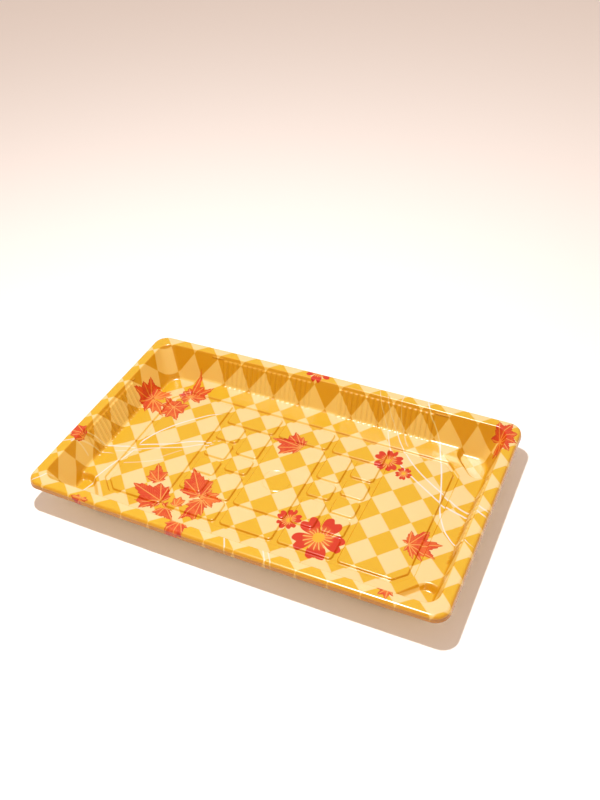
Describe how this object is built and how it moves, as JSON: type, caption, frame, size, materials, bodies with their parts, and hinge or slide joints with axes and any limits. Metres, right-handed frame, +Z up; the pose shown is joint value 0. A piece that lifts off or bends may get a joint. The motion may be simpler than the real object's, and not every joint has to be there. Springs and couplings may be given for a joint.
{
  "type": "takeaway sushi tray",
  "caption": "Shallow rectangular takeaway sushi tray of thin printed plastic with a flat rim, ribbed sloping walls, a cell-patterned floor and corner feet.",
  "frame": {"origin": "under the middle of the tray, on the plane that its corner feet rest on", "axes": "+X along the tray's long side, +Y across it, +Z up"},
  "size_m": [0.2374, 0.1448, 0.022],
  "materials": {
    "tray": "glossy, printed"
  },
  "bodies": {
    "root": {"tray": "tray"}
  },
  "joints": []
}
